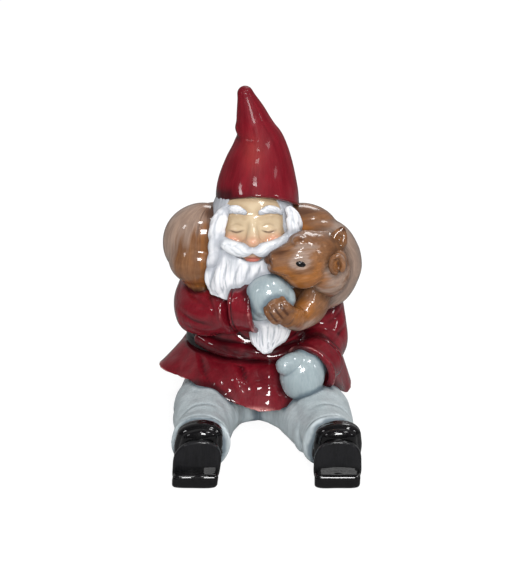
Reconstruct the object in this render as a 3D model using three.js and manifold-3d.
// A seated garden gnome of glazed ceramic with a squirrel lying round its shoulders.
// Millimetres, +Z up, the figure facing -Y. The origin is the middle of the seat, on the surface
// that the figure sits on. Left and right in names are the figure's own, so its right is at -X.

import * as THREE from "three";
import { mergeVertices } from "three/addons/utils/BufferGeometryUtils.js";
import Module from "manifold-3d";

const wasm = await Module();
wasm.setup();

// Driving sizes of the gnome
const CLEARANCE = 0.3;
const WAIST_HEIGHT = 25.5;
const WAIST_WIDTH = 57;
const WAIST_DEPTH = 37;
const CHEST_HEIGHT = 25;
const SHOULDER_WIDTH = 50;
const NECK_HEIGHT = 6;
const HEAD_WIDTH = 31;
const HEAD_DEPTH = 33;
const HEAD_HEIGHT = 40;
const HEAD_TILT = 20;
const HAIR_THICKNESS = 4.2;
const HAT_HEIGHT = 43;
const HAT_RIM_WIDTH = 33;
const HAT_RIM_TILT = 31;
const BEARD_LENGTH = 37;
const BEARD_THICKNESS = 6;
const MOUSTACHE_SPREAD = 13.5;
const BELT_HEIGHT = 4.2;
const BELT_THICKNESS = 1.5;
const SKIRT_FLARE = 9;
const SKIRT_FRONT_DROP = 15;
const SKIRT_BACK_DROP = 21;
const SLEEVE_THICKNESS = 19;
const CUFF_THICKNESS = 20.5;
const CUFF_LENGTH = 8.5;
const MITTEN_WIDTH = 18.2;
const THUMB_WIDTH = 7;
const SEAT_WIDTH = 54;
const SEAT_DEPTH = 41;
const SEAT_HEIGHT = 21;
const LEG_THICKNESS = 22;
const LEG_LENGTH = 57;
const RIGHT_FOOT_SPREAD = 23.3;
const LEFT_FOOT_SPREAD = 29.9;
const BOOT_WIDTH = 18;
const BOOT_HEIGHT = 18;
const BOOT_DEPTH = 13;
const SOLE_THICKNESS = 2.6;
const HEEL_HEIGHT = 5.6;
const HEEL_STEP = 4;
const VENT_WIDTH = 7;
const VENT_DEPTH = 6;

// Driving sizes of the squirrel
const SQUIRREL_BODY_WIDTH = 39;
const SQUIRREL_BODY_HEIGHT = 40;
const SQUIRREL_HEAD_LENGTH = 24;
const SQUIRREL_HEAD_HEIGHT = 23;
const EAR_HEIGHT = 10;
const EAR_WIDTH = 7.5;
const EAR_THICKNESS = 3.4;
const TAIL_WIDTH = 31.5;
const TAIL_HEIGHT = 32.6;
const PAW_WIDTH = 11.5;

// Facets round a smooth form, as a share of the counts given with each
const FINENESS = 0.47;

// Glazes and paints
const BURGUNDY = { color: 0x7d1f2c, roughness: 0.12, metalness: 0 };
const PALE_GREY = { color: 0xa9b9bf, roughness: 0.5, metalness: 0 };
const MITTEN_GREY = { color: 0xb3c1c5, roughness: 0.15, metalness: 0 };
const WHITE = { color: 0xe6e9ed, roughness: 0.6, metalness: 0 };
const SKIN = { color: 0xd2b894, roughness: 0.3, metalness: 0 };
const BLACK = { color: 0x1d1b1e, roughness: 0.1, metalness: 0 };
const BROWN = { color: 0x92663f, roughness: 0.2, metalness: 0 };

const vec = (x, y, z) => new THREE.Vector3(x, y, z);
const SIDEWAYS = vec(1, 0, 0);
const UP = vec(0, 0, 1);

// Landmarks, each placed from the one that carries it
const WAIST = vec(1, 3, WAIST_HEIGHT);
const SHOULDERS = WAIST.clone().add(vec(-1, 2, CHEST_HEIGHT));
const NECK = SHOULDERS.clone().add(vec(-1, -1, NECK_HEIGHT));
const HEAD = NECK.clone().add(vec(-1, -7, HEAD_HEIGHT / 2));
const SHOULDER_SIDE = SHOULDER_WIDTH / 2 - 3;
const RIGHT_SHOULDER = SHOULDERS.clone().add(vec(-SHOULDER_SIDE - 1, -2, -6));
const LEFT_SHOULDER = SHOULDERS.clone().add(vec(SHOULDER_SIDE + 2, -3, -7));
const RIGHT_ELBOW = RIGHT_SHOULDER.clone().add(vec(2, -12, -1.5));
const LEFT_ELBOW = LEFT_SHOULDER.clone().add(vec(2, -8, -14));
const RIGHT_WRIST = RIGHT_ELBOW.clone().add(vec(16, -11.5, 6));
const LEFT_WRIST = LEFT_ELBOW.clone().add(vec(-2.5, -10, -3.5));
const RIGHT_HAND = RIGHT_WRIST.clone().add(vec(CUFF_LENGTH + 0.6, -5, 8));
const LEFT_HAND = LEFT_WRIST.clone().add(vec(-CUFF_LENGTH + 2.4, -9.5, -2.6));
const SQUIRREL = LEFT_SHOULDER.clone().add(vec(-3, -5, 17.5));
const SQUIRREL_HEAD = SQUIRREL.clone().add(vec(-3, -17, 8.5));
const TAIL = RIGHT_SHOULDER.clone().add(vec(1.4, -4, 24.6));
const PAW = RIGHT_HAND.clone().add(vec(3.6, -MITTEN_WIDTH / 2 + 1.5, -2.2));

// A manifold solid from bare positions and triangles
function solidFrom(positions, triangles) {
  return new wasm.Manifold(
    new wasm.Mesh({
      numProp: 3,
      vertProperties: new Float32Array(positions),
      triVerts: new Uint32Array(triangles),
    }),
  );
}

function solidOf(geometry) {
  const bare = geometry.clone();
  bare.deleteAttribute("normal");
  bare.deleteAttribute("uv");
  const merged = mergeVertices(bare, 1e-4);
  return solidFrom(merged.attributes.position.array, merged.index.array);
}

// Rings of points closed into one body, with a point at each end
function skin(rings, first, last) {
  const sides = rings[0].length;
  const points = [first, ...rings.flat(), last];
  const triangles = [];
  const at = (ring, side) => 1 + ring * sides + (side % sides);
  const end = points.length - 1;
  for (let j = 0; j < sides; j += 1) {
    triangles.push(0, at(0, j + 1), at(0, j));
    triangles.push(end, at(rings.length - 1, j), at(rings.length - 1, j + 1));
    for (let i = 0; i + 1 < rings.length; i += 1) {
      triangles.push(at(i, j), at(i, j + 1), at(i + 1, j + 1));
      triangles.push(at(i, j), at(i + 1, j + 1), at(i + 1, j));
    }
  }
  return solidFrom(points.flatMap((p) => [p.x, p.y, p.z]), triangles);
}

// A form drawn along a smooth line of stations. A station is a centre with a half width and a half
// depth. The ends are domes of the given lengths, and ripple adds height to the skin.
function loft(stations, options = {}) {
  const { startDome = 4, endDome = 4, domeSteps = 2 } = options;
  const sides = Math.round((options.sides ?? 20) * FINENESS);
  const steps = Math.round((options.steps ?? 12) * FINENESS);
  const { across = SIDEWAYS, level = null, ripple = () => 0, grow = 0 } = options;
  const line = new THREE.CatmullRomCurve3(stations.map((s) => s.at), false, "catmullrom");
  const sizes = stations.map((s) => vec(s.wide, s.deep, 0));
  const size = new THREE.CatmullRomCurve3(sizes, false, "catmullrom");
  const ringAt = (t, shrink, shift) => {
    const forward = level ? level.clone() : line.getTangent(t);
    const side = across.clone().addScaledVector(forward, -across.dot(forward)).normalize();
    const over = forward.clone().cross(side);
    const centre = line.getPoint(t).addScaledVector(forward, shift);
    const { x: wide, y: deep } = size.getPoint(t);
    return Array.from({ length: sides }, (_, j) => {
      const angle = (j / sides) * 2 * Math.PI;
      const extra = grow + ripple(angle, t);
      return centre
        .clone()
        .addScaledVector(side, (wide + extra) * shrink * Math.cos(angle))
        .addScaledVector(over, (deep + extra) * shrink * Math.sin(angle));
    });
  };
  const pole = (t, shift) => {
    const forward = level ? level.clone() : line.getTangent(t);
    return line.getPoint(t).addScaledVector(forward, shift);
  };
  const rings = [];
  for (let k = 1; k <= domeSteps; k += 1) {
    const turn = ((k / (domeSteps + 1)) * Math.PI) / 2;
    rings.push(ringAt(0, Math.sin(turn), -Math.cos(turn) * (startDome + grow)));
  }
  for (let i = 0; i <= steps; i += 1) rings.push(ringAt(i / steps, 1, 0));
  for (let k = domeSteps; k >= 1; k -= 1) {
    const turn = ((k / (domeSteps + 1)) * Math.PI) / 2;
    rings.push(ringAt(1, Math.sin(turn), Math.cos(turn) * (endDome + grow)));
  }
  return skin(rings, pole(0, -startDome - grow), pole(1, endDome + grow));
}

const station = (at, wide, deep = wide) => ({ at, wide, deep });

// An egg of three half sizes, turned by Euler angles in degrees
function egg(centre, half, turn = [0, 0, 0], grow = 0, detail = 20) {
  const around = Math.round(detail * FINENESS);
  const shape = new THREE.SphereGeometry(1, around, Math.round(around * 0.6));
  shape.scale(half[0] + grow, half[1] + grow, half[2] + grow);
  const angles = turn.map(THREE.MathUtils.degToRad);
  shape.applyMatrix4(new THREE.Matrix4().makeRotationFromEuler(new THREE.Euler(...angles)));
  shape.translate(centre.x, centre.y, centre.z);
  return solidOf(shape);
}

function block(low, high) {
  const size = high.clone().sub(low);
  const middle = low.clone().add(high).multiplyScalar(0.5);
  return solidOf(new THREE.BoxGeometry(size.x, size.y, size.z).translate(...middle));
}

const REACH = 400;
const BELOW_FLOOR = block(vec(-REACH, -REACH, -REACH), vec(REACH, REACH, 0));

function joined(forms) {
  return forms.reduce((sum, form) => sum.add(form));
}

// What is left of a form once its neighbours, each already grown by the clearance, are taken away.
// A cut can leave crumbs, so the largest body is kept.
function without(form, neighbours) {
  const rest = neighbours.reduce((left, n) => left.subtract(n), form);
  const bodies = rest.decompose();
  return bodies.reduce((best, b) => (b.volume() > best.volume() ? b : best));
}

// Head, cap and hair

const TILT = THREE.MathUtils.degToRad(HEAD_TILT);

// A point given in the tilted frame of the head: right, back and up from its middle
function onHead(x, y, z) {
  return vec(x, y, z).applyAxisAngle(SIDEWAYS, -TILT).add(HEAD);
}

// A point on the front of the skull, right and up from its middle, and proud of its surface
function onFace(x, z, proud) {
  const front = Math.sqrt(Math.max(0, 1 - (2 * x / HEAD_WIDTH) ** 2 - (2 * z / HEAD_HEIGHT) ** 2));
  return onHead(x, (-HEAD_DEPTH / 2) * front - proud, z);
}

function headForm(grow = 0) {
  const half = [HEAD_WIDTH / 2, HEAD_DEPTH / 2, HEAD_HEIGHT / 2];
  const upright = [-HEAD_TILT, 0, 0];
  const skull = egg(HEAD, half, upright, grow, 28);
  const nose = egg(onFace(0, -2.6, 1.5), [2.9, 3.2, 2.6], upright, grow, 16);
  const bridge = loft(
    [station(onFace(0, 5, 0), 1.5, 1.3), station(onFace(0, -1.4, 1), 2.2, 1.9)],
    { sides: 12, steps: 3, startDome: 1, endDome: 1, grow },
  );
  const cheeks = [-1, 1].map((s) =>
    egg(onFace(s * 7.2, -3.2, -1.1), [4.6, 3.4, 4.2], [-HEAD_TILT, 0, s * 24], grow, 18),
  );
  const lip = egg(onFace(0, -11.2, 0.3), [2.9, 1.7, 1.1], upright, grow, 14);
  return joined([skull, nose, bridge, ...cheeks, lip]);
}

const RIM = onHead(1.8, 0.6, 9.4);

function hatForm(grow = 0) {
  const half = HAT_RIM_WIDTH / 2;
  const lean = THREE.MathUtils.degToRad(HAT_RIM_TILT);
  const start = vec(0, Math.sin(lean), Math.cos(lean));
  const h = HAT_HEIGHT;
  const spine = (x, y, z) => RIM.clone().add(vec(x * h, y * h, z * h));
  const stations = [
    station(RIM.clone(), half * 0.985),
    station(RIM.clone().addScaledVector(start, 0.17 * h), half * 0.965),
    station(spine(0.01, 0.15, 0.35), half * 0.81),
    station(spine(0.005, 0.2, 0.53), half * 0.595, half * 0.62),
    station(spine(-0.03, 0.22, 0.67), half * 0.45, half * 0.46),
    station(spine(-0.07, 0.23, 0.82), half * 0.33),
    station(spine(-0.115, 0.235, 0.95), half * 0.23),
  ];
  // The cap is pushed in by a fold on its right side, two thirds of the way up
  const ripple = (angle, t) => {
    const near = Math.exp(-(((t - 0.56) / 0.045) ** 2));
    return -0.9 * near * (0.5 - 0.5 * Math.cos(angle)) * (t > 0 ? 1 : 0);
  };
  const options = { sides: 28, steps: 22, startDome: 0.8, endDome: 3.4, ripple, grow };
  return loft(stations, options);
}

function hairForm(grow = 0) {
  const wide = HEAD_WIDTH / 2 + HAIR_THICKNESS;
  const deep = HEAD_DEPTH / 2 + HAIR_THICKNESS * 0.6;
  const tall = HEAD_HEIGHT / 2 + 1;
  const mass = egg(onHead(-0.6, 1.5, -1.5), [wide, deep, tall], [-HEAD_TILT, 0, 0], grow, 28);
  const front = block(vec(-REACH, -REACH, -REACH), vec(REACH, HEAD.y - HEAD_DEPTH * 0.3, REACH));
  const low = block(vec(-REACH, -REACH, -REACH), vec(REACH, REACH, NECK.z + 1));
  const side = HEAD_WIDTH / 2;
  const locks = [
    lockForm([[-side + 3.6, -9.5, 13], [-side + 0.8, -11.4, 8], [-side - 1.4, -10.6, 2]], 3, grow),
    lockForm([[-side + 3.4, -13, 6], [-side + 1.6, -14.4, -1], [-side - 0.4, -13, -9]], 2.9, grow),
    lockForm([[side - 4, -9, 13], [side - 1, -10.8, 8.6], [side + 0.7, -9.6, 3.6]], 2.9, grow),
    lockForm([[side - 4.2, -13, 6.5], [side - 2.2, -14, 0.5], [side - 1.4, -13, -6]], 2.6, grow),
  ];
  return joined([mass.subtract(front).subtract(low), ...locks]);
}

// A lock of hair through three places given from the middle of the head
function lockForm(places, thick, grow = 0) {
  const swell = [0.75, 1, 0.6];
  const stations = places.map((place, k) => {
    return station(HEAD.clone().add(vec(...place)), thick * swell[k]);
  });
  return loft(stations, { sides: 12, steps: 6, startDome: 1.6, endDome: 1.2, domeSteps: 1, grow });
}

function beardForm(grow = 0) {
  const wide = HEAD_WIDTH / 2 + HAIR_THICKNESS * 0.8;
  const thick = BEARD_THICKNESS;
  const chin = onHead(0, -HEAD_DEPTH * 0.24, -HEAD_HEIGHT * 0.22);
  const down = (x, y, z) => chin.clone().add(vec(x, y, z * BEARD_LENGTH));
  const stations = [
    station(chin, wide * 0.9, thick * 1.4),
    station(down(0, -2, -0.25), wide * 0.99, thick * 1.4),
    station(down(0.6, -4.5, -0.5), wide * 0.9, thick * 1.1),
    station(down(3.6, -7.5, -0.73), wide * 0.68, thick * 0.9),
    station(down(6, -11.5, -0.9), wide * 0.38, thick * 0.62),
    station(down(5.8, -13, -0.98), wide * 0.13, thick * 0.36),
  ];
  const ripple = (angle, t) => 0.45 * Math.cos(9 * angle + 2 * t) * Math.min(1, 4 * t);
  return loft(stations, { sides: 31, steps: 11, startDome: 7, endDome: 1.5, ripple, grow });
}

// The bare part of the face that the beard and the hair leave free
function facePatch(grow = 0) {
  const half = [HEAD_WIDTH * 0.4, 12, 14.2];
  return egg(onHead(0, -HEAD_DEPTH / 2 - 1, 1.4), half, [-HEAD_TILT, 0, 0], grow, 20);
}

function moustacheForm(grow = 0) {
  const lobes = [-1, 1].map((s) => {
    const out = (share) => s * MOUSTACHE_SPREAD * share;
    const stations = [
      station(onFace(0, -7.3, 1.7), 1.9, 1.9),
      station(onFace(out(0.28), -7.8, 2.3), 3, 2.7),
      station(onFace(out(0.6), -6.8, 2.6), 2.9, 2.8),
      station(onFace(out(0.87), -4.4, 3.2), 2, 2.2),
      station(onFace(out(1.02), -1.4, 4.6), 0.9, 1.1),
    ];
    return loft(stations, { sides: 12, steps: 9, across: UP, startDome: 1.2, endDome: 1.2, grow });
  });
  return joined(lobes);
}

function eyebrowForm(side, grow = 0) {
  const stations = [
    station(onFace(side * 3.4, 7.4, 0.9), 1.2, 1.1),
    station(onFace(side * 6.6, 8.3, 1.4), 1.5, 1.3),
    station(onFace(side * 9.6, 7.2, 1), 1, 1),
  ];
  return loft(stations, { sides: 10, steps: 6, across: UP, startDome: 1, endDome: 1.2, grow });
}

// Tunic, belt and skirt

function torsoForm(grow = 0) {
  const wide = WAIST_WIDTH / 2;
  const deep = WAIST_DEPTH / 2;
  const shoulder = SHOULDER_WIDTH / 2;
  const rise = SHOULDERS.clone().sub(WAIST);
  const part = (share) => WAIST.clone().addScaledVector(rise, share);
  const stations = [
    station(part(0), wide, deep),
    station(part(0.35), wide * 0.94, deep * 0.97),
    station(part(0.7), shoulder * 1.02, deep * 0.92),
    station(part(0.95), shoulder * 0.9, deep * 0.76),
    station(NECK.clone().add(vec(0, 1, -2)), shoulder * 0.6, deep * 0.56),
  ];
  const options = { sides: 32, steps: 10, level: UP, startDome: 0, domeSteps: 2, endDome: 5, grow };
  const body = loft(stations, options);
  return body.subtract(block(vec(-REACH, -REACH, -REACH), vec(REACH, REACH, WAIST.z - grow)));
}

function beltForm(grow = 0) {
  const wide = WAIST_WIDTH / 2 + BELT_THICKNESS;
  const deep = WAIST_DEPTH / 2 + BELT_THICKNESS;
  const low = WAIST.clone().add(vec(0, 0, CLEARANCE));
  const stations = [
    station(low.clone().add(vec(0, 0, 0.5)), wide, deep),
    station(low.clone().add(vec(0, 0, BELT_HEIGHT - 0.5)), wide - 0.6, deep - 0.4),
  ];
  const options = { sides: 32, steps: 2, level: UP, startDome: 0.5, endDome: 0.5, domeSteps: 1 };
  return loft(stations, { ...options, grow });
}

// The skirt's rings run from the waist to a waved hem, which lies over the thighs and flares out at
// the hips, higher at the figure's right
function skirtForm() {
  const sides = 38;
  const rows = 5;
  const lip = BELT_THICKNESS + 0.6;
  const waist = { wide: WAIST_WIDTH / 2 + lip, deep: WAIST_DEPTH / 2 + lip };
  const near = (angle, middle, width) => {
    const turn = Math.atan2(Math.sin(angle - middle), Math.cos(angle - middle));
    return Math.exp(-((turn / width) ** 2));
  };
  const rightThigh = (angle) => near(angle, RIGHT_THIGH_ANGLE, 0.5);
  const leftThigh = (angle) => near(angle, LEFT_THIGH_ANGLE, 0.5);
  const hem = (angle) => {
    const front = 0.5 - 0.5 * Math.sin(angle);
    const rightFlare = near(angle, Math.PI * 1.03, 0.38);
    const leftFlare = near(angle, -0.36, 0.26);
    const drop = SKIRT_BACK_DROP + (SKIRT_FRONT_DROP - SKIRT_BACK_DROP) * front;
    const lift = 0.56 * rightThigh(angle) + 0.36 * leftThigh(angle) + 0.5 * rightFlare - 0.34 * leftFlare;
    const thighs = rightThigh(angle) + leftThigh(angle);
    return {
      out: SKIRT_FLARE * (0.55 + 0.5 * rightFlare + 0.35 * thighs),
      ahead: Math.sin(angle) < 0 ? SKIRT_FLARE * 1.1 * -Math.sin(angle) : 0,
      drop: drop - SKIRT_FRONT_DROP * lift,
    };
  };
  const pointAt = (j, row) => {
    const angle = (j / sides) * 2 * Math.PI;
    const share = row / rows;
    const edge = hem(angle);
    const folds = Math.cos(9 * angle + 0.6) + 0.5 * Math.cos(5 * angle + 2);
    const out = edge.out * share ** 0.85 + 0.9 * share * share * folds;
    return vec(
      WAIST.x + (waist.wide + out) * Math.cos(angle),
      WAIST.y + (waist.deep + out + edge.ahead * share ** 0.85) * Math.sin(angle),
      WAIST.z - CLEARANCE - edge.drop * share,
    );
  };
  const rings = [];
  for (let row = rows; row >= 0; row -= 1) {
    rings.push(Array.from({ length: sides }, (_, j) => pointAt(j, row)));
  }
  const under = WAIST.clone().setZ(WAIST.z - SKIRT_FRONT_DROP * 0.75);
  return skin(rings, under, WAIST.clone().setZ(WAIST.z - CLEARANCE));
}

// Arms

// Each arm, with how full its sleeve is above the elbow and where its cuff starts and opens
const RIGHT_ARM = {
  shoulder: RIGHT_SHOULDER,
  elbow: RIGHT_ELBOW,
  wrist: RIGHT_WRIST,
  across: UP,
  fullness: 1.12,
  cuffStart: RIGHT_WRIST.clone().add(vec(-3.6, 1, 1.5)),
  cuffEnd: RIGHT_WRIST.clone().add(vec(5, -2, 2.6)),
};
const LEFT_ARM = {
  shoulder: LEFT_SHOULDER,
  elbow: LEFT_ELBOW,
  wrist: LEFT_WRIST,
  across: SIDEWAYS,
  fullness: 1.04,
  cuffStart: LEFT_WRIST.clone().add(vec(1.6, 1.6, 0.6)),
  cuffEnd: LEFT_WRIST.clone().add(vec(-3, -6.4, -1.6)),
};

function sleeveForm({ shoulder, elbow, wrist, across, fullness }, grow = 0) {
  const half = SLEEVE_THICKNESS / 2;
  const outer = shoulder.clone().add(vec(0, 1.5, 2));
  const stations = [
    station(outer, half * 0.95),
    station(shoulder.clone().lerp(elbow, 0.5), half * fullness),
    station(elbow, half * (0.3 + 0.7 * fullness), half),
    station(elbow.clone().lerp(wrist, 0.5), half * 0.96),
    station(wrist, half * 0.9, half * 0.92),
  ];
  const folds = (angle, t) => 0.35 * Math.sin(26 * t + Math.sin(angle)) * Math.sin(Math.PI * t);
  const options = { sides: 22, steps: 14, across, startDome: 6, endDome: 1.5 };
  return loft(stations, { ...options, ripple: folds, grow });
}

function cuffForm({ cuffStart, cuffEnd }, grow = 0) {
  const half = CUFF_THICKNESS / 2;
  const stations = [
    station(cuffStart, half * 0.88),
    station(cuffStart.clone().lerp(cuffEnd, 0.5), half * 0.97),
    station(cuffEnd, half * 1.02),
  ];
  const options = { sides: 22, steps: 4, across: UP, startDome: 0.8, endDome: 1, domeSteps: 2 };
  return loft(stations, { ...options, grow });
}

function rightMittenForm(grow = 0) {
  const half = MITTEN_WIDTH / 2;
  const palm = egg(RIGHT_HAND, [half * 0.97, half * 0.8, half], [0, 18, 0], grow, 22);
  const wrist = half * 0.78;
  const heelAt = RIGHT_WRIST.clone().lerp(RIGHT_HAND, 0.62);
  const heel = egg(heelAt, [wrist, wrist, wrist], [0, 0, 0], grow, 16);
  const thick = (THUMB_WIDTH / 2) * 0.85;
  const stations = [
    station(RIGHT_HAND.clone().add(vec(half * 0.6, 0.5, half * 0.4)), thick),
    station(RIGHT_HAND.clone().add(vec(half * 0.81, -0.4, 0.4)), thick),
    station(RIGHT_HAND.clone().add(vec(half * 0.75, -1.2, -half * 0.3)), thick),
  ];
  const thumb = loft(stations, { sides: 12, steps: 4, across: UP, startDome: 2, endDome: 2.4, grow });
  return joined([palm, heel, thumb]);
}

function leftMittenForm(grow = 0) {
  const half = MITTEN_WIDTH / 2;
  const palm = egg(LEFT_HAND, [half * 0.98, half * 0.74, half * 1.14], [-22, 12, 0], grow, 24);
  const wrist = half * 0.8;
  const heelAt = LEFT_WRIST.clone().lerp(LEFT_HAND, 0.62);
  const heel = egg(heelAt, [wrist, wrist * 0.9, wrist], [0, 0, 0], grow, 16);
  const thick = THUMB_WIDTH / 2;
  const stations = [
    station(LEFT_HAND.clone().add(vec(-0.6, 0.4, half * 0.6)), thick * 1.3),
    station(LEFT_HAND.clone().add(vec(-half * 0.4, -1, half * 0.66)), thick * 1.24),
    station(LEFT_HAND.clone().add(vec(-half * 0.68, -2.4, half * 0.55)), thick),
  ];
  const thumb = loft(stations, { sides: 14, steps: 4, across: UP, startDome: 3, endDome: 3, grow });
  return joined([palm, heel, thumb]);
}

// Seat, legs and boots

function seatForm(grow = 0) {
  const wide = SEAT_WIDTH / 2;
  const deep = SEAT_DEPTH / 2;
  const stations = [
    station(vec(0, 0, 0), wide * 0.94, deep * 0.96),
    station(vec(0, 1, SEAT_HEIGHT * 0.35), wide, deep),
    station(vec(0, 2, SEAT_HEIGHT * 0.7), wide * 0.93, deep * 0.9),
  ];
  const options = { sides: 26, steps: 4, level: UP, startDome: 1, endDome: SEAT_HEIGHT * 0.3 };
  return loft(stations, { ...options, grow }).subtract(BELOW_FLOOR);
}

function ventHole() {
  const hole = new THREE.CylinderGeometry(VENT_WIDTH / 2, VENT_WIDTH / 2, VENT_DEPTH * 2, 20);
  hole.rotateX(Math.PI / 2);
  hole.translate(0, SEAT_DEPTH * 0.27, 0);
  return solidOf(hole);
}

const footSpread = (side) => (side < 0 ? -RIGHT_FOOT_SPREAD : LEFT_FOOT_SPREAD);
const ankleAt = (side) => vec(footSpread(side) - side * 1.4, -LEG_LENGTH, LEG_THICKNESS * 0.47);
const hipAt = (side) => vec(side * SEAT_WIDTH * 0.29, -5, LEG_THICKNESS * 0.4);
const RIGHT_THIGH_ANGLE = Math.atan2(-LEG_LENGTH * 0.5, -RIGHT_FOOT_SPREAD - 4);
const LEFT_THIGH_ANGLE = Math.atan2(-LEG_LENGTH * 0.5, LEFT_FOOT_SPREAD + 2);

// The web between the legs, as shares of the foot's spread and of the leg's length
const GUSSET_LINE = {
  "-1": [[0.01, 0.265], [0.24, 0.29], [0.455, 0.36], [0.635, 0.52], [0.74, 0.72]],
  1: [[0.01, 0.265], [0.23, 0.31], [0.41, 0.42], [0.555, 0.58], [0.675, 0.77]],
};

function legForm(side, grow = 0) {
  const half = LEG_THICKNESS / 2;
  const hip = hipAt(side);
  const ankle = ankleAt(side);
  const onFloor = (share, out, wide, tall) => {
    const at = hip.clone().lerp(ankle, share).setZ(half * tall - 0.3);
    return station(at.add(vec(side * out, 0, 0)), half * wide, half * tall);
  };
  const stations = [
    onFloor(0, 0, 1.22, 0.8),
    onFloor(0.3, 2.5, 1.14, 0.82),
    onFloor(0.58, 2, 1.07, 0.88),
    onFloor(0.8, 0.6, 0.96, 0.91),
    onFloor(1, 0, 1, 0.97),
  ];
  const folds = (angle, t) => 0.4 * Math.sin(22 * t + 2 * Math.cos(angle)) * Math.sin(Math.PI * t);
  const options = { sides: 22, steps: 15, startDome: 6, endDome: 1.2, ripple: folds };
  const leg = loft(stations, { ...options, grow });
  const web = GUSSET_LINE[side].map(([out, ahead], k) => {
    const at = vec(footSpread(side) * out, -LEG_LENGTH * ahead, half * (0.46 + 0.04 * k));
    return station(at, half * 0.59, half * (0.65 + 0.035 * k));
  });
  const gusset = loft(web, { sides: 14, steps: 8, startDome: 0.6, endDome: 6, grow });
  return leg.add(gusset).subtract(BELOW_FLOOR);
}

const soleFace = -LEG_LENGTH - BOOT_DEPTH + SOLE_THICKNESS;

function bootForm(side, grow = 0) {
  const half = BOOT_WIDTH / 2;
  const x = footSpread(side);
  const back = soleFace + CLEARANCE;
  const upright = (z, deep) => vec(x, back + deep, z);
  const stations = [
    station(upright(BOOT_HEIGHT * 0.05, 7), half * 0.84, 7.2),
    station(upright(BOOT_HEIGHT * 0.35, 6.5), half * 0.9, 7),
    station(upright(BOOT_HEIGHT * 0.7, 5.5), half, 6.2),
    station(upright(BOOT_HEIGHT * 0.95, 5.5), half * 0.94, 5.8),
  ];
  const options = { sides: 22, steps: 7, level: UP, startDome: 1, endDome: 4.4, domeSteps: 3 };
  const upper = loft(stations, { ...options, grow });
  const instep = loft(
    [station(vec(x, back + 6, 9), 7, 8), station(ankleAt(side).add(vec(0, 3, -1)), 7, 8)],
    { sides: 16, steps: 3, startDome: 2, endDome: 2, grow },
  );
  const front = block(vec(-REACH, -REACH, -REACH), vec(REACH, back - grow, REACH));
  return upper.add(instep).subtract(front).subtract(BELOW_FLOOR);
}

// The outline of a shoe sole seen from below, heel end at height zero
function soleOutline(height, inset) {
  const half = BOOT_WIDTH / 2 - inset;
  const shape = new THREE.Shape();
  shape.moveTo(-half * 0.86, inset);
  shape.lineTo(half * 0.86, inset);
  shape.quadraticCurveTo(half * 0.95, height * 0.3, half, height * 0.62);
  shape.absellipse(0, height * 0.62, half, height * 0.38 - inset, 0, Math.PI, false, 0);
  shape.quadraticCurveTo(-half * 0.95, height * 0.3, -half * 0.86, inset);
  return shape;
}

// A plate of the given outline whose outer face looks along -Y
function plate(shape, thick, bevel, x, outerFace) {
  const extruded = new THREE.ExtrudeGeometry(shape, {
    depth: thick - 2 * bevel,
    bevelThickness: bevel,
    bevelSize: bevel,
    bevelSegments: 1,
    curveSegments: 6,
  });
  extruded.rotateX(Math.PI / 2);
  extruded.translate(x, outerFace + thick - bevel, 0);
  return solidOf(extruded);
}

function soleForm(side) {
  const bevel = 0.5;
  const outer = soleFace - SOLE_THICKNESS;
  const shape = soleOutline(BOOT_HEIGHT, bevel);
  return plate(shape, SOLE_THICKNESS, bevel, footSpread(side), outer);
}

function heelForm(side) {
  const bevel = 0.5;
  const outer = soleFace - SOLE_THICKNESS - CLEARANCE - HEEL_STEP;
  const half = BOOT_WIDTH / 2 - bevel;
  const shape = new THREE.Shape();
  shape.moveTo(-half * 0.86, bevel);
  shape.lineTo(half * 0.86, bevel);
  shape.lineTo(half * 0.9, HEEL_HEIGHT - bevel);
  shape.lineTo(-half * 0.9, HEEL_HEIGHT - bevel);
  shape.closePath();
  return plate(shape, HEEL_STEP, bevel, footSpread(side), outer);
}

// Squirrel

function squirrelBodyForm(grow = 0) {
  const wide = SQUIRREL_BODY_WIDTH / 2;
  const tall = SQUIRREL_BODY_HEIGHT / 2;
  const mass = egg(SQUIRREL, [wide, wide * 0.86, tall], [0, 0, 0], grow, 30);
  const stations = [
    station(SQUIRREL.clone().add(vec(-2, 6, 1)), tall * 0.72, wide * 0.66),
    station(NECK.clone().add(vec(8, 17, 6)), tall * 0.62, wide * 0.5),
    station(NECK.clone().add(vec(-8, 17, 6)), tall * 0.5, wide * 0.45),
  ];
  const back = loft(stations, { sides: 18, steps: 6, across: UP, startDome: 5, endDome: 5, grow });
  const rumpAt = SQUIRREL.clone().add(vec(-4, 3.4, tall * 0.47));
  const rump = egg(rumpAt, [wide * 0.82, wide * 0.56, tall * 0.7], [0, 0, 0], grow, 22);
  const thighAt = SQUIRREL.clone().add(vec(5, 12, -tall * 0.25));
  const thigh = egg(thighAt, [wide * 0.56, wide * 0.41, tall * 0.6], [0, 20, 0], grow, 12);
  return joined([mass, back, rump, thigh]);
}

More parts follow.
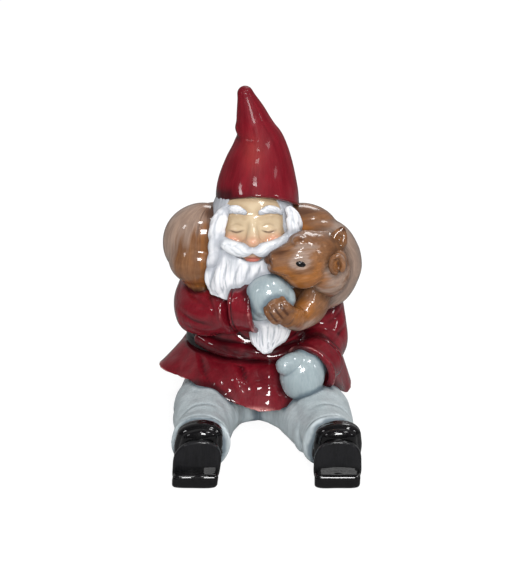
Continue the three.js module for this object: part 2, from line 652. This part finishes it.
function squirrelHeadForm(grow = 0) {
  const tall = SQUIRREL_HEAD_HEIGHT / 2;
  const length = SQUIRREL_HEAD_LENGTH;
  const along = (share, out, lift) =>
    SQUIRREL_HEAD.clone().add(vec(length * (0.35 - share), out, lift));
  const stations = [
    station(along(0.0, 6.5, 1), tall * 0.74, tall * 0.7),
    station(along(0.18, 3.4, 0.8), tall * 0.88, tall * 0.8),
    station(along(0.38, 1, 0.8), tall * 0.94, tall * 0.84),
    station(along(0.57, -1.4, 0.7), tall * 0.76, tall * 0.7),
    station(along(0.74, -2.6, 1.2), tall * 0.53, tall * 0.52),
    station(along(0.89, -3.4, 1.3), tall * 0.39, tall * 0.4),
  ];
  const options = { sides: 22, steps: 14, across: UP, startDome: 7, endDome: 1.5 };
  const neckAt = SQUIRREL_HEAD.clone().add(vec(length * 0.36, 4.4, -tall * 0.49));
  const neck = egg(neckAt, [tall * 0.8, tall * 0.87, tall * 0.95], [0, 0, 0], grow, 14);
  return loft(stations, { ...options, grow }).add(neck);
}

function earForm(centre, turn, grow = 0) {
  const half = [EAR_WIDTH / 2, EAR_THICKNESS / 2, EAR_HEIGHT / 2];
  const ear = egg(centre, half, turn, grow, 16);
  const bowl = egg(
    centre.clone().add(vec(0, -EAR_THICKNESS * 0.55, 0)),
    [half[0] * 0.62, half[1] * 0.8, half[2] * 0.66],
    turn,
    0,
    12,
  );
  return grow ? ear : ear.subtract(bowl);
}

const NEAR_EAR = SQUIRREL_HEAD.clone().add(vec(SQUIRREL_HEAD_LENGTH * 0.51, -4.6, 1.2));
const FAR_EAR = SQUIRREL_HEAD.clone().add(vec(SQUIRREL_HEAD_LENGTH * 0.49, 4.6, 7.4));

function tailForm(grow = 0) {
  const wide = TAIL_WIDTH / 2;
  const tall = TAIL_HEIGHT / 2;
  const brush = egg(TAIL, [wide, wide * 0.8, tall], [8, 0, 0], grow, 34);
  const stations = [
    station(NECK.clone().add(vec(-9, 17, 7)), tall * 0.5, wide * 0.5),
    station(TAIL.clone().add(vec(3, 9, 1)), tall * 0.7, wide * 0.62),
  ];
  const root = loft(stations, { sides: 20, steps: 3, across: UP, startDome: 4, endDome: 5, grow });
  return brush.add(root);
}

function forelegForm(grow = 0) {
  const half = PAW_WIDTH / 2;
  const from = (x, y, z) => SQUIRREL.clone().add(vec(x, y, z));
  const stations = [
    station(from(2.4, -13.4, -6), half * 1.3, half),
    station(from(-0.6, -17.4, -11), half * 1.2, half),
    station(from(-5.6, -22.4, -13.2), half * 0.8),
    station(PAW.clone().add(vec(3.4, 1.6, -3.6)), half * 0.7),
    station(PAW.clone().add(vec(0.4, 0.8, 0.4)), half * 0.92, half * 0.7),
  ];
  return loft(stations, { sides: 18, steps: 14, across: UP, startDome: 4, endDome: 4, grow });
}

// Each piece gives way to the ones made before it, so the order below is the order of fitting
const gap = CLEARANCE;
const pieces = {};

pieces.head = headForm();
pieces.eyebrow_right = without(eyebrowForm(-1), [headForm(gap)]);
pieces.eyebrow_left = without(eyebrowForm(1), [headForm(gap)]);
pieces.moustache = without(moustacheForm(), [headForm(gap)]);
pieces.hat = without(hatForm(), [headForm(gap), eyebrowForm(-1, gap), eyebrowForm(1, gap)]);
pieces.right_mitten = rightMittenForm();
pieces.left_mitten = leftMittenForm();
pieces.right_cuff = without(cuffForm(RIGHT_ARM), [rightMittenForm(gap)]);
pieces.left_cuff = without(cuffForm(LEFT_ARM), [leftMittenForm(gap)]);
pieces.right_sleeve = without(sleeveForm(RIGHT_ARM), [
  cuffForm(RIGHT_ARM, gap),
  rightMittenForm(gap),
]);
pieces.left_sleeve = without(sleeveForm(LEFT_ARM), [
  cuffForm(LEFT_ARM, gap),
  leftMittenForm(gap),
]);

const arms = [
  rightMittenForm(gap),
  leftMittenForm(gap),
  cuffForm(RIGHT_ARM, gap),
  cuffForm(LEFT_ARM, gap),
  sleeveForm(RIGHT_ARM, gap),
  sleeveForm(LEFT_ARM, gap),
];
pieces.tunic_body = without(torsoForm(), [headForm(gap), ...arms]);
pieces.belt = without(beltForm(), [torsoForm(gap), ...arms]);
const trunk = [headForm(gap), torsoForm(gap), beltForm(gap), ...arms];

pieces.squirrel_foreleg = without(forelegForm(), trunk);
pieces.squirrel_head = without(squirrelHeadForm(), [
  ...trunk,
  forelegForm(gap),
  moustacheForm(gap),
]);
pieces.squirrel_left_ear = without(earForm(NEAR_EAR, [0, 20, 10]), [squirrelHeadForm(gap)]);
pieces.squirrel_right_ear = without(earForm(FAR_EAR, [-20, 30, 20]), [squirrelHeadForm(gap)]);
const squirrelFront = [
  forelegForm(gap),
  squirrelHeadForm(gap),
  earForm(NEAR_EAR, [0, 20, 10], gap),
  earForm(FAR_EAR, [-20, 30, 20], gap),
];
pieces.hair = without(hairForm(), [
  ...trunk,
  ...squirrelFront,
  hatForm(gap),
  eyebrowForm(-1, gap),
  eyebrowForm(1, gap),
  moustacheForm(gap),
]);
const above = [hatForm(gap), hairForm(gap)];
pieces.squirrel_body = without(squirrelBodyForm(), [...trunk, ...squirrelFront, ...above]);
const squirrel = [...squirrelFront, squirrelBodyForm(gap)];
pieces.squirrel_tail = without(tailForm(), [...trunk, ...squirrel, ...above]);
pieces.beard = without(beardForm(), [
  ...trunk,
  ...squirrel,
  tailForm(gap),
  hairForm(gap),
  moustacheForm(gap),
  facePatch(),
]);

for (const [name, side] of [["right", -1], ["left", 1]]) {
  pieces[name + "_sole"] = soleForm(side);
  pieces[name + "_heel"] = heelForm(side);
  pieces[name + "_boot"] = bootForm(side);
  pieces[name + "_trouser_leg"] = without(legForm(side), [bootForm(side, gap), ...arms]);
}
const legs = [-1, 1].flatMap((side) => [legForm(side, gap), bootForm(side, gap)]);
pieces.left_trouser_leg = without(pieces.left_trouser_leg, [legForm(-1, gap)]);
pieces.trouser_seat = without(seatForm(), [...legs, ventHole()]);
pieces.tunic_skirt = without(skirtForm(), [...legs, seatForm(gap), ...arms]);

const finishes = {
  hat: BURGUNDY,
  head: SKIN,
  hair: WHITE,
  beard: WHITE,
  moustache: WHITE,
  eyebrow_right: WHITE,
  eyebrow_left: WHITE,
  tunic_body: BURGUNDY,
  tunic_skirt: BURGUNDY,
  belt: BLACK,
  right_sleeve: BURGUNDY,
  left_sleeve: BURGUNDY,
  right_cuff: BURGUNDY,
  left_cuff: BURGUNDY,
  right_mitten: MITTEN_GREY,
  left_mitten: MITTEN_GREY,
  trouser_seat: PALE_GREY,
  right_trouser_leg: PALE_GREY,
  left_trouser_leg: PALE_GREY,
  right_boot: BLACK,
  left_boot: BLACK,
  right_sole: BLACK,
  left_sole: BLACK,
  right_heel: BLACK,
  left_heel: BLACK,
  squirrel_body: BROWN,
  squirrel_head: BROWN,
  squirrel_left_ear: BROWN,
  squirrel_right_ear: BROWN,
  squirrel_tail: BROWN,
  squirrel_foreleg: BROWN,
};

const figurine = new THREE.Group();
for (const [name, solid] of Object.entries(pieces)) {
  const { vertProperties, triVerts } = solid.getMesh();
  const geometry = new THREE.BufferGeometry();
  geometry.setAttribute("position", new THREE.BufferAttribute(new Float32Array(vertProperties), 3));
  geometry.setIndex(new THREE.BufferAttribute(new Uint32Array(triVerts), 1));
  geometry.computeVertexNormals();
  const mesh = new THREE.Mesh(geometry, new THREE.MeshStandardMaterial(finishes[name]));
  mesh.name = name;
  figurine.add(mesh);
}

export default figurine;
